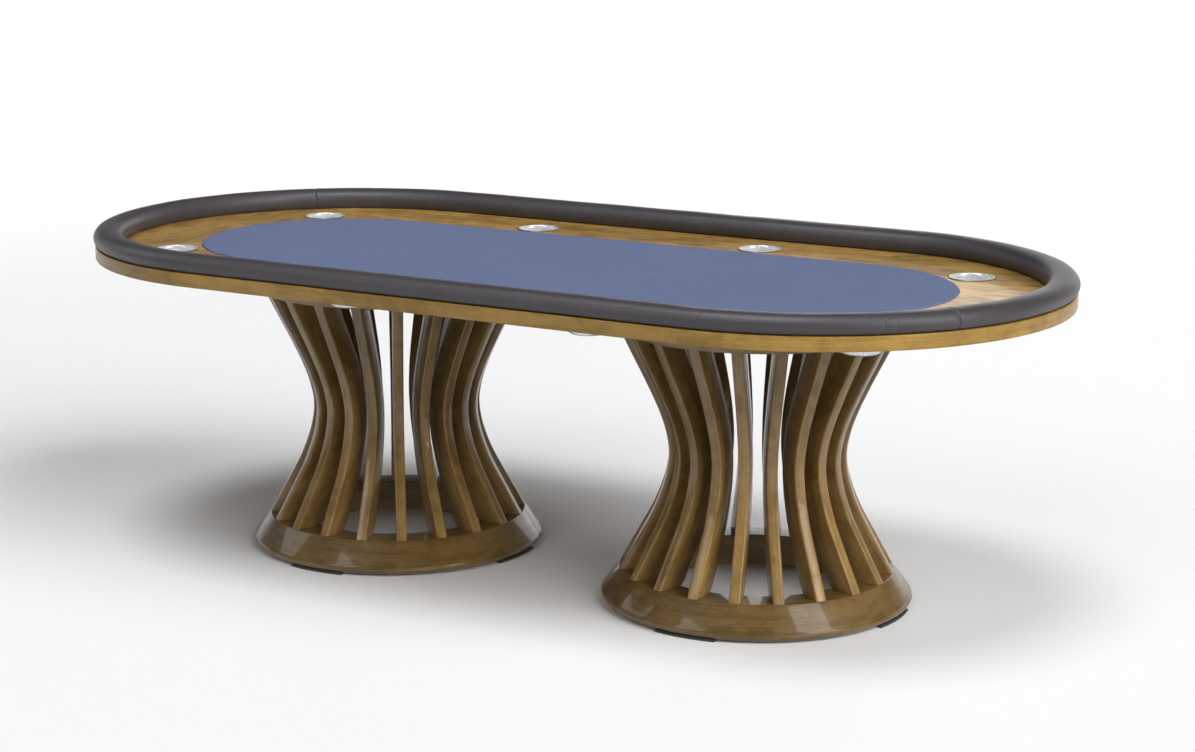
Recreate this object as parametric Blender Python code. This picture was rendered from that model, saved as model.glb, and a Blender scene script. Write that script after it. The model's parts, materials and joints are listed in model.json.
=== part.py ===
"""Oval poker table: padded rail, wooden racetrack, raised cloth field and two slatted pedestals.

Metres, +Z up. The origin is on the floor under the middle of the table and +X runs along its
length. Every piece is its own object. Touching pieces keep a joint gap of GAP.
"""
import math

import bmesh
import bpy
from mathutils import Matrix, Vector

# ---------------------------------------------------------------- driving dimensions
GAP = 0.0003                    # joint gap left between touching pieces

# plan of the table top: every outline is a straight run with a half circle at each end
HALF_STRAIGHT = 0.6150          # half of the straight run
SKIRT_RADIUS = 0.5790           # outside of the wooden skirt
SKIRT_WALL = 0.0180
RAIL_INNER_RADIUS = 0.5145      # where the rail meets the racetrack
BOARD_RADIUS = 0.3290           # edge of the raised cloth field
BOARD_FIT = 0.0008              # clearance round the raised board

# heights from the floor up
SKIRT_BOTTOM = 0.6977
SKIRT_TOP = 0.7287
DECK_BOTTOM = 0.6985
DECK_THICKNESS = 0.0120
RACETRACK_TOP = 0.7205
BOARD_TOP = 0.7235
RAIL_TOP = 0.7695
RAIL_CORE_TOP = 0.7450

# drop-in cup holders
CUP_PATH_RADIUS = 0.3950        # offset of the cup centres from the table's spine
CUP_STRAIGHT_X = 0.3050         # cups on the straight run
CUP_ARC_ANGLE = math.radians(48.0)   # cups on the end arcs, from the long axis
CUP_FLANGE_RADIUS = 0.0525
CUP_BOWL_RADIUS = 0.0447
CUP_DEPTH = 0.0630
CUP_WALL = 0.0012
CUP_FLANGE_RISE = 0.0022
CUP_HOLE_RADIUS = 0.0457
CUP_HOLE_TURN = 0.05            # turn of the hole's facets against the cup's

# pedestals
PEDESTAL_X = 0.4860
PEDESTAL_SHIFT_X = 0.0072        # the pair stands a little off the top's middle
PEDESTAL_Y = 0.0247
SLATS_PER_PEDESTAL = 20
SLAT_THICKNESS = 0.0245
SLAT_WIDTH = 0.0600             # board width measured square to its curve
SLAT_STATIONS = 14
SLAT_PROFILE = (                # outer edge of a slat: height, radius
    (0.0756, 0.3065), (0.1180, 0.2830), (0.1600, 0.2600), (0.2050, 0.2355), (0.2500, 0.2165),
    (0.2950, 0.2035), (0.3400, 0.1983), (0.3850, 0.2050), (0.4300, 0.2195), (0.4750, 0.2390),
    (0.5200, 0.2605), (0.5650, 0.2830), (0.6100, 0.3045), (0.6735, 0.3340),
)
BASE_BOTTOM = 0.0050
BASE_TOP = 0.0756
BASE_RIM_RADIUS = 0.3070
BASE_FOOT_RADIUS = 0.3490
BASE_HOLE_RADIUS = 0.2400
TOP_RING_THICKNESS = 0.0757
TOP_RING_INNER = 0.2400
TOP_RING_RIM_RADIUS = 0.3200    # at its underside, where the slats end
TOP_RING_OUTER = 0.3520
PAD_COUNT = 4
PAD_HALF_ANGLE = math.radians(12.0)
PAD_INNER = 0.2440
PAD_OUTER = 0.3465
GLIDE_INNER = 0.2620
GLIDE_OUTER = 0.3220
GLIDE_BOTTOM = 0.0022

ARC_STEPS = 26                  # segments in a half circle
RING_STEPS = 48
CUP_STEPS = 20
HOLE_STEPS = 24


# ---------------------------------------------------------------- helpers
def clear_scene():
    for obj in list(bpy.data.objects):
        bpy.data.objects.remove(obj, do_unlink=True)


def material(name, colour, roughness, metallic=0.0, coat=0.0):
    mat = bpy.data.materials.new(name)
    mat.use_nodes = True
    shader = mat.node_tree.nodes["Principled BSDF"]
    shader.inputs["Base Color"].default_value = (*colour, 1.0)
    shader.inputs["Roughness"].default_value = roughness
    shader.inputs["Metallic"].default_value = metallic
    shader.inputs["Coat Weight"].default_value = coat
    mat.diffuse_color = (*colour, 1.0)
    return mat


def finish_object(name, bm, mat):
    bmesh.ops.remove_doubles(bm, verts=bm.verts, dist=1e-6)
    bmesh.ops.recalc_face_normals(bm, faces=bm.faces)
    mesh = bpy.data.meshes.new(name)
    bm.to_mesh(mesh)
    bm.free()
    obj = bpy.data.objects.new(name, mesh)
    bpy.context.collection.objects.link(obj)
    if mat:
        mesh.materials.append(mat)
    return obj


def profile_edges(bm, points, origin=(0.0, 0.0), closed=True):
    """Lay a section out in the plane through the origin that faces +X; points are radius, height."""
    verts = [bm.verts.new((origin[0] + r, origin[1], z)) for r, z in points]
    pairs = list(zip(verts, verts[1:]))
    if closed:
        pairs.append((verts[-1], verts[0]))
    return [bm.edges.new(pair) for pair in pairs]


def revolved(name, section, mat, centre=(0.0, 0.0), steps=RING_STEPS, closed=True,
             start=0.0, sweep=2.0 * math.pi):
    """Turn a section about a vertical axis, all the way round or through part of a circle."""
    bm = bmesh.new()
    edges = profile_edges(bm, section, centre, closed)
    axis_at = Vector((*centre, 0.0))
    whole = sweep >= 2.0 * math.pi
    bmesh.ops.rotate(bm, verts=bm.verts, cent=axis_at, matrix=Matrix.Rotation(start, 3, "Z"))
    bmesh.ops.spin(bm, geom=edges, cent=axis_at, axis=(0, 0, 1), angle=sweep, steps=steps,
                   use_merge=whole)
    if not whole:
        bmesh.ops.holes_fill(bm, edges=[e for e in bm.edges if e.is_boundary], sides=0)
    return finish_object(name, bm, mat)


def oval_swept(name, section, mat, steps=ARC_STEPS):
    """Carry a closed section round the oval: half turn, straight, half turn, straight."""
    bm = bmesh.new()
    edges = profile_edges(bm, section, (HALF_STRAIGHT, 0.0))
    right, left = Vector((HALF_STRAIGHT, 0, 0)), Vector((-HALF_STRAIGHT, 0, 0))
    bmesh.ops.rotate(bm, verts=bm.verts, cent=right, matrix=Matrix.Rotation(-math.pi / 2, 3, "Z"))

    def half_turn(geom, centre):
        out = bmesh.ops.spin(bm, geom=geom, cent=centre, axis=(0, 0, 1), angle=math.pi,
                             steps=steps, use_duplicate=False)
        return [g for g in out["geom_last"] if isinstance(g, bmesh.types.BMEdge)]

    def straight(geom, shift):
        out = bmesh.ops.extrude_edge_only(bm, edges=geom)["geom"]
        verts = [g for g in out if isinstance(g, bmesh.types.BMVert)]
        bmesh.ops.translate(bm, verts=verts, vec=(shift, 0, 0))
        return [g for g in out if isinstance(g, bmesh.types.BMEdge)]

    edges = half_turn(edges, right)
    edges = straight(edges, -2.0 * HALF_STRAIGHT)
    edges = half_turn(edges, left)
    straight(edges, 2.0 * HALF_STRAIGHT)
    return finish_object(name, bm, mat)


def oval_slab(name, section, mat, steps=ARC_STEPS):
    """A solid oval plate; the open section runs from its bottom rim to its top rim."""
    bm = bmesh.new()
    edges = profile_edges(bm, section, (HALF_STRAIGHT, 0.0), closed=False)
    right, left = Vector((HALF_STRAIGHT, 0, 0)), Vector((-HALF_STRAIGHT, 0, 0))
    bmesh.ops.rotate(bm, verts=bm.verts, cent=right, matrix=Matrix.Rotation(-math.pi / 2, 3, "Z"))
    first = bmesh.ops.spin(bm, geom=edges, cent=right, axis=(0, 0, 1), angle=math.pi, steps=steps)
    last = [g for g in first["geom_last"] if isinstance(g, bmesh.types.BMEdge)]
    run = bmesh.ops.extrude_edge_only(bm, edges=last)["geom"]
    bmesh.ops.translate(bm, verts=[g for g in run if isinstance(g, bmesh.types.BMVert)],
                        vec=(-2.0 * HALF_STRAIGHT, 0, 0))
    last = [g for g in run if isinstance(g, bmesh.types.BMEdge)]
    turn = bmesh.ops.spin(bm, geom=last, cent=left, axis=(0, 0, 1), angle=math.pi, steps=steps)
    last = [g for g in turn["geom_last"] if isinstance(g, bmesh.types.BMEdge)]
    run = bmesh.ops.extrude_edge_only(bm, edges=last)["geom"]
    bmesh.ops.translate(bm, verts=[g for g in run if isinstance(g, bmesh.types.BMVert)],
                        vec=(2.0 * HALF_STRAIGHT, 0, 0))
    bmesh.ops.remove_doubles(bm, verts=bm.verts, dist=1e-6)
    rims = [e for e in bm.edges if e.is_boundary]
    bmesh.ops.holes_fill(bm, edges=rims, sides=0)
    return finish_object(name, bm, mat)


def hidden_tool(name, bm):
    """A cutter or joiner that only serves a Boolean and is never part of the table."""
    tool = finish_object(name, bm, None)
    tool.hide_render = True
    tool.display_type = "WIRE"
    return tool


def boolean(obj, tool, operation):
    mod = obj.modifiers.new(f"{operation.lower()} {tool.name}", "BOOLEAN")
    mod.operation = operation
    mod.solver = "EXACT"
    mod.object = tool
    return mod


def cup_centres():
    arc_x = HALF_STRAIGHT + CUP_PATH_RADIUS * math.cos(CUP_ARC_ANGLE)
    arc_y = CUP_PATH_RADIUS * math.sin(CUP_ARC_ANGLE)
    back = [(-arc_x, arc_y), (-CUP_STRAIGHT_X, CUP_PATH_RADIUS),
            (CUP_STRAIGHT_X, CUP_PATH_RADIUS), (arc_x, arc_y)]
    return back + [(-x, -y) for x, y in back]


def slat_radius(height):
    """Outer radius of a slat at a height, smoothly through the profile stations."""
    rows = SLAT_PROFILE
    index = max(i for i in range(len(rows) - 1) if rows[i][0] <= max(height, rows[0][0]) + 1e-9)
    (z0, r0), (z1, r1) = rows[index], rows[index + 1]

    def slope(i):
        low, high = rows[max(i - 1, 0)], rows[min(i + 1, len(rows) - 1)]
        return (high[1] - low[1]) / (high[0] - low[0])

    t, span = (height - z0) / (z1 - z0), z1 - z0
    m0, m1 = slope(index) * span, slope(index + 1) * span
    return ((2 * t ** 3 - 3 * t ** 2 + 1) * r0 + (t ** 3 - 2 * t ** 2 + t) * m0
            + (3 * t ** 2 - 2 * t ** 3) * r1 + (t ** 3 - t ** 2) * m1)


# ---------------------------------------------------------------- pieces
def make_skirt(mat):
    inner = SKIRT_RADIUS - SKIRT_WALL
    section = [(inner, SKIRT_BOTTOM), (SKIRT_RADIUS - 0.0015, SKIRT_BOTTOM),
               (SKIRT_RADIUS, SKIRT_BOTTOM + 0.0015), (SKIRT_RADIUS, SKIRT_TOP - 0.0015),
               (SKIRT_RADIUS - 0.0015, SKIRT_TOP), (inner, SKIRT_TOP)]
    return oval_swept("skirt", section, mat)


def make_deck(mat, holes):
    edge = SKIRT_RADIUS - SKIRT_WALL - GAP
    section = [(edge, DECK_BOTTOM), (edge, DECK_BOTTOM + DECK_THICKNESS)]
    deck = oval_slab("under_deck", section, mat)
    boolean(deck, holes, "DIFFERENCE")
    return deck


def make_racetrack(mat, holes):
    low = DECK_BOTTOM + DECK_THICKNESS + GAP
    inner, outer = BOARD_RADIUS + BOARD_FIT, SKIRT_RADIUS - SKIRT_WALL - GAP
    section = [(inner, low), (outer, low), (outer, RACETRACK_TOP), (inner, RACETRACK_TOP)]
    track = oval_swept("racetrack", section, mat)
    boolean(track, holes, "DIFFERENCE")
    return track


def make_board(mat):
    low = DECK_BOTTOM + DECK_THICKNESS + GAP
    section = [(BOARD_RADIUS, low), (BOARD_RADIUS, BOARD_TOP - 0.0022),
               (BOARD_RADIUS - 0.0007, BOARD_TOP - 0.0007), (BOARD_RADIUS - 0.0022, BOARD_TOP)]
    return oval_slab("playing_board", section, mat)


def make_rail_core(mat):
    low = RACETRACK_TOP + GAP
    inner, outer = RAIL_INNER_RADIUS + 0.0085, SKIRT_RADIUS - SKIRT_WALL - 0.0015
    section = [(inner, low), (outer, low), (outer, RAIL_CORE_TOP), (inner, RAIL_CORE_TOP)]
    return oval_swept("rail_core", section, mat)


def make_rail_pad(mat):
    core_in = RAIL_INNER_RADIUS + 0.0085 - GAP
    core_out = SKIRT_RADIUS - SKIRT_WALL - 0.0015 + GAP
    roof, floor_in, floor_out = RAIL_CORE_TOP + GAP, RACETRACK_TOP + GAP, SKIRT_TOP + 0.0013
    r0, top = RAIL_INNER_RADIUS, RAIL_TOP
    section = [(core_in, roof), (core_in, floor_in), (r0 + 0.0006, floor_in), (r0 - 0.0010, 0.7300),
               (r0 - 0.0012, 0.7420), (r0 + 0.0018, 0.7540), (r0 + 0.0110, top - 0.0055),
               (r0 + 0.0260, top), (r0 + 0.0430, top), (r0 + 0.0580, top - 0.0060),
               (r0 + 0.0660, 0.7540), (r0 + 0.0682, 0.7440), (r0 + 0.0668, 0.7350),
               (r0 + 0.0630, floor_out), (core_out, floor_out),
               (core_out, roof)]
    return oval_swept("rail_pad", section, mat)


def make_cup(index, centre, mat):
    rim = RACETRACK_TOP + GAP
    lip, bowl, wall = CUP_FLANGE_RADIUS, CUP_BOWL_RADIUS, CUP_WALL
    base = rim - CUP_DEPTH
    section = [(0.0, base), (bowl - 0.009, base), (bowl, base + 0.009), (bowl, rim), (lip, rim),
               (lip, rim + 0.0008), (lip - 0.0020, rim + CUP_FLANGE_RISE),
               (bowl + 0.0008, rim + CUP_FLANGE_RISE), (bowl - wall, rim + 0.0002),
               (bowl - wall, base + 0.0096), (bowl - 0.0096, base + wall), (0.0, base + wall)]
    return revolved(f"cup_holder_{index:02d}", section, mat, centre, CUP_STEPS, closed=False)


def make_slat(side, index, centre_x, mat):
    """A straight-grained board bent into a curve, standing on edge and pointing at the axis."""
    bm = bmesh.new()
    low, high = BASE_TOP + GAP, DECK_BOTTOM - TOP_RING_THICKNESS - 2.0 * GAP
    edge_pairs = []
    for k in range(SLAT_STATIONS):
        z = low + (high - low) * k / (SLAT_STATIONS - 1)
        rise = (slat_radius(min(z + 0.004, 0.6730)) - slat_radius(z - 0.004 if k else z)) / 0.008
        outer = slat_radius(z)
        width = SLAT_WIDTH * math.sqrt(1.0 + rise * rise)
        edge_pairs.append((bm.verts.new((outer, 0, z)), bm.verts.new((outer - width, 0, z))))
    rows = [bm.edges.new(pair) for pair in edge_pairs]
    for below, above in zip(rows, rows[1:]):
        bmesh.ops.contextual_create(bm, geom=[below, above])
    bmesh.ops.solidify(bm, geom=bm.faces[:], thickness=SLAT_THICKNESS)
    middle = sum((v.co.y for v in bm.verts), 0.0) / len(bm.verts)
    bmesh.ops.translate(bm, verts=bm.verts, vec=(0, -middle, 0))
    turn = Matrix.Rotation(-math.pi / 2 + 2.0 * math.pi * index / SLATS_PER_PEDESTAL, 4, "Z")
    bmesh.ops.transform(bm, matrix=Matrix.Translation((centre_x, PEDESTAL_Y, 0)) @ turn, verts=bm.verts)
    return finish_object(f"{side}_slat_{index + 1:02d}", bm, mat)


def make_base_ring(side, centre_x, mat):
    low, high, rim, foot = BASE_BOTTOM + GAP, BASE_TOP, BASE_RIM_RADIUS, BASE_FOOT_RADIUS
    section = [(BASE_HOLE_RADIUS, low), (foot - 0.0080, low), (foot - 0.0022, low + 0.0030),
               (foot, low + 0.0085), (foot - 0.0010, low + 0.0150), (rim + 0.0012, high - 0.0012),
               (rim - 0.0004, high), (BASE_HOLE_RADIUS + 0.0015, high),
               (BASE_HOLE_RADIUS, high - 0.0015)]
    return revolved(f"{side}_base_ring", section, mat, (centre_x, PEDESTAL_Y))


def make_top_ring(side, centre_x, mat):
    high = DECK_BOTTOM - GAP
    low = high - TOP_RING_THICKNESS
    section = [(TOP_RING_INNER, low), (TOP_RING_RIM_RADIUS - 0.0016, low),
               (TOP_RING_RIM_RADIUS, low + 0.0016), (TOP_RING_OUTER, high - 0.0080),
               (TOP_RING_OUTER, high), (TOP_RING_INNER, high)]
    return revolved(f"{side}_top_ring", section, mat, (centre_x, PEDESTAL_Y))


def make_foot_pads(side, centre_x, mat):
    """Four pads tied together by a thin glide ring that stays clear of the floor."""
    glide = [(GLIDE_INNER, GLIDE_BOTTOM), (GLIDE_OUTER, GLIDE_BOTTOM),
             (GLIDE_OUTER, BASE_BOTTOM - 0.0004), (GLIDE_INNER, BASE_BOTTOM - 0.0004)]
    feet = revolved(f"{side}_foot_pads", glide, mat, (centre_x, PEDESTAL_Y))
    pad = [(PAD_INNER, 0.0), (PAD_OUTER, 0.0), (PAD_OUTER, BASE_BOTTOM), (PAD_INNER, BASE_BOTTOM)]
    for quarter in range(PAD_COUNT):
        block = revolved(f"{side}_pad_block_{quarter + 1}", pad, None, (centre_x, PEDESTAL_Y), steps=5,
                         start=quarter * 2.0 * math.pi / PAD_COUNT - PAD_HALF_ANGLE,
                         sweep=2.0 * PAD_HALF_ANGLE)
        block.hide_render = True
        block.display_type = "WIRE"
        boolean(feet, block, "UNION")
    return feet


def make_hole_cutter():
    bm = bmesh.new()
    for x, y in cup_centres():
        bmesh.ops.create_cone(bm, cap_ends=True, segments=HOLE_STEPS, radius1=CUP_HOLE_RADIUS,
                              radius2=CUP_HOLE_RADIUS, depth=0.10,
                              matrix=(Matrix.Translation((x, y, DECK_BOTTOM))
                                      @ Matrix.Rotation(CUP_HOLE_TURN, 4, "Z")))
    return hidden_tool("cup_hole_cutter", bm)


def build():
    clear_scene()
    vinyl = material("rail_vinyl", (0.075, 0.070, 0.072), 0.42)
    skirt_wood = material("skirt_wood", (0.330, 0.195, 0.075), 0.35, coat=0.4)
    track_wood = material("racetrack_wood", (0.300, 0.180, 0.060), 0.32, coat=0.5)
    pedestal_wood = material("pedestal_wood", (0.125, 0.078, 0.030), 0.30, coat=0.6)
    plywood = material("deck_plywood", (0.420, 0.300, 0.160), 0.65)
    cloth = material("play_cloth", (0.130, 0.165, 0.285), 0.90)
    steel = material("cup_steel", (0.720, 0.720, 0.720), 0.18, metallic=1.0)
    rubber = material("foot_rubber", (0.035, 0.035, 0.032), 0.80)

    holes = make_hole_cutter()
    make_skirt(skirt_wood)
    make_deck(plywood, holes)
    make_racetrack(track_wood, holes)
    make_board(cloth)
    make_rail_core(plywood)
    make_rail_pad(vinyl)
    for number, centre in enumerate(cup_centres(), start=1):
        make_cup(number, centre, steel)
    for side, x in (("left", PEDESTAL_SHIFT_X - PEDESTAL_X),
                    ("right", PEDESTAL_SHIFT_X + PEDESTAL_X)):
        make_base_ring(side, x, pedestal_wood)
        make_top_ring(side, x, pedestal_wood)
        make_foot_pads(side, x, rubber)
        for index in range(SLATS_PER_PEDESTAL):
            make_slat(side, index, x, pedestal_wood)


build()
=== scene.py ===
"""Oval poker table: the finished look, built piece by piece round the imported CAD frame."""
from __future__ import annotations

import json
import logging
import math
from dataclasses import dataclass
from enum import Enum
from functools import partial
from typing import Callable, ClassVar, Sequence

import bmesh
import bpy
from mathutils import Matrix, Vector, geometry, noise

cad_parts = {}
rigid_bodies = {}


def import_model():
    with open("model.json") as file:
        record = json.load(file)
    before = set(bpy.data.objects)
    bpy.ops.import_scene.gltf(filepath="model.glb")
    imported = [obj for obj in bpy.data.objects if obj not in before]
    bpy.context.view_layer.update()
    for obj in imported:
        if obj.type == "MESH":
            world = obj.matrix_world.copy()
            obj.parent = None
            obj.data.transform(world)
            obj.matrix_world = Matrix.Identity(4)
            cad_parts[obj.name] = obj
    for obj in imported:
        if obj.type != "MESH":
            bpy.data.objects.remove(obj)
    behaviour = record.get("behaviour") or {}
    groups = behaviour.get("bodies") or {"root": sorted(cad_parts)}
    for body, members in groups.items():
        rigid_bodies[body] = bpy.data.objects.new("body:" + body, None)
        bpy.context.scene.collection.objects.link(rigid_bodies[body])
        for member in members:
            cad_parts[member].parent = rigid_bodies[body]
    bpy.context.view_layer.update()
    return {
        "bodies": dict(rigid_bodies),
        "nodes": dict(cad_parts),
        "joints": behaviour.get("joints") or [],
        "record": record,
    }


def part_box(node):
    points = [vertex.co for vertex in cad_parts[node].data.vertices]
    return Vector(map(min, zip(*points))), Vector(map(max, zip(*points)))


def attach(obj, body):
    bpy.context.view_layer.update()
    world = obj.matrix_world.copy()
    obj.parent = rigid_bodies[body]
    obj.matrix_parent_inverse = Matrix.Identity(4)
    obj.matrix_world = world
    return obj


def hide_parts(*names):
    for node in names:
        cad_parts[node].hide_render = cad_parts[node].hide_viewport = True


LOG = logging.getLogger("poker_table")
Section = list[tuple[float, float]]
Colour = tuple[float, float, float]
GRAIN = "grain"                 # vector attribute: metres along, across and through the wood
TONE = "tone"                   # float attribute: one shade of its own for each board, plus painted light on the skirt, the slats and the base rings


class Part(str, Enum):
    """The CAD bodies that pieces ride on."""

    TABLE = "table"


class Slot(str, Enum):
    """Material slots of the record."""

    RAIL = "rail_vinyl"
    SKIRT = "skirt_wood"
    TRACK = "racetrack_wood"
    PEDESTAL = "pedestal_wood"
    PLYWOOD = "deck_plywood"
    CLOTH = "play_cloth"
    STEEL = "cup_steel"
    RUBBER = "foot_rubber"


# ------------------------------------------------------------------ shader groups
class NodeSketch:
    """Short ways to add and join nodes in one node tree."""

    def __init__(self, tree: bpy.types.NodeTree) -> None:
        """Start on a tree.

        Args:
            tree: the material's or group's node tree.
        """
        self.tree = tree
        self._column = 0

    def add(self, kind: str, **values: object) -> bpy.types.Node:
        """Add a node and set its properties.

        Args:
            kind: the node's Blender type name.
            values: property names and values.

        Returns:
            The new node.
        """
        node = self.tree.nodes.new(kind)
        self._column += 1
        node.location = (180 * (self._column % 12), -220 * (self._column // 12))
        for name, value in values.items():
            setattr(node, name, value)
        return node

    def join(self, source: bpy.types.NodeSocket, target: bpy.types.NodeSocket) -> None:
        """Link two sockets."""
        self.tree.links.new(source, target)

    def feed(self, target: bpy.types.NodeSocket, value: object) -> None:
        """Link a socket, or set its default value.

        Args:
            target: the input to fill.
            value: a socket, a number or a tuple.
        """
        if isinstance(value, bpy.types.NodeSocket):
            self.join(value, target)
        else:
            target.default_value = value

    def math(self, operation: str, first: object, second: object = 0.0,
             clamp: bool = False) -> bpy.types.NodeSocket:
        """Add a Math node.

        Args:
            operation: the Math operation.
            first: a socket or number.
            second: a socket or number.
            clamp: whether to hold the result between 0 and 1.

        Returns:
            The result socket.
        """
        node = self.add("ShaderNodeMath", operation=operation, use_clamp=clamp)
        self.feed(node.inputs[0], first)
        self.feed(node.inputs[1], second)
        return node.outputs[0]

    def scaled(self, vector: object, scale: tuple[float, float, float],
               offset: tuple[float, float, float] = (0.0, 0.0, 0.0)) -> bpy.types.NodeSocket:
        """Stretch a vector and shift it.

        Args:
            vector: the vector socket.
            scale: the factor on each axis.
            offset: what is added after scaling.

        Returns:
            The new vector socket.
        """
        node = self.add("ShaderNodeVectorMath", operation="MULTIPLY_ADD")
        self.feed(node.inputs[0], vector)
        node.inputs[1].default_value = scale
        node.inputs[2].default_value = offset
        return node.outputs[0]

    def group(self, tree: bpy.types.NodeTree, **values: object) -> bpy.types.Node:
        """Add a shared shader group and fill its inputs.

        Args:
            tree: the group.
            values: a socket, number or colour for each input, by its name.

        Returns:
            The group's node.
        """
        node = self.add("ShaderNodeGroup", node_tree=tree)
        for name, value in values.items():
            self.feed(node.inputs[name], (*value, 1.0) if isinstance(value, tuple) else value)
        return node

    def spot(self) -> bpy.types.NodeSocket:
        """Read the place on the piece, in metres."""
        return self.add("ShaderNodeTexCoord").outputs["Object"]

    def split(self, vector: bpy.types.NodeSocket) -> Sequence[bpy.types.NodeSocket]:
        """Take a vector apart.

        Args:
            vector: the vector socket.

        Returns:
            Its x, y and z sockets.
        """
        node = self.add("ShaderNodeSeparateXYZ")
        self.join(vector, node.inputs[0])
        return node.outputs

    def noise(self, vector: object, scale: float, detail: float = 2.0,
              roughness: float = 0.5, distortion: float = 0.0) -> bpy.types.NodeSocket:
        """Add a Noise texture.

        Args:
            vector: where it is read.
            scale: its frequency.
            detail: its octaves.
            roughness: how strong the fine octaves are.
            distortion: how much it folds.

        Returns:
            The factor socket.
        """
        node = self.add("ShaderNodeTexNoise")
        self.feed(node.inputs["Vector"], vector)
        node.inputs["Scale"].default_value = scale
        node.inputs["Detail"].default_value = detail
        node.inputs["Roughness"].default_value = roughness
        node.inputs["Distortion"].default_value = distortion
        return node.outputs["Fac"]

    def span(self, value: object, low: float, high: float, to_low: float = 0.0,
             to_high: float = 1.0) -> bpy.types.NodeSocket:
        """Map a range to another, held at its ends.

        Args:
            value: the socket to map.
            low: the input's low end.
            high: the input's high end.
            to_low: the output at the low end.
            to_high: the output at the high end.

        Returns:
            The mapped socket.
        """
        node = self.add("ShaderNodeMapRange", interpolation_type="SMOOTHSTEP")
        self.feed(node.inputs["Value"], value)
        for name, number in (("From Min", low), ("From Max", high),
                             ("To Min", to_low), ("To Max", to_high)):
            node.inputs[name].default_value = number
        return node.outputs["Result"]

    def blend(self, factor: object, first: object, second: object,
              kind: str = "MIX") -> bpy.types.NodeSocket:
        """Mix two colours.

        Args:
            factor: how much of the second.
            first: a colour or socket.
            second: a colour or socket.
            kind: the blend type.

        Returns:
            The colour socket.
        """
        node = self.add("ShaderNodeMix", data_type="RGBA", blend_type=kind)
        self.feed(node.inputs["Factor"], factor)
        for name, value in ((6, first), (7, second)):
            is_colour = isinstance(value, tuple)
            self.feed(node.inputs[name], (*value, 1.0) if is_colour else value)
        return node.outputs[2]

    def bump(self, height: object, strength: float, distance: float,
             normal: object = None) -> bpy.types.NodeSocket:
        """Add a Bump node.

        Args:
            height: the height socket.
            strength: from 0 to 1.
            distance: the height of 1, in metres.
            normal: a normal to start from.

        Returns:
            The normal socket.
        """
        node = self.add("ShaderNodeBump")
        node.inputs["Strength"].default_value = strength
        node.inputs["Distance"].default_value = distance
        self.feed(node.inputs["Height"], height)
        if normal is not None:
            self.join(normal, node.inputs["Normal"])
        return node.outputs["Normal"]


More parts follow.
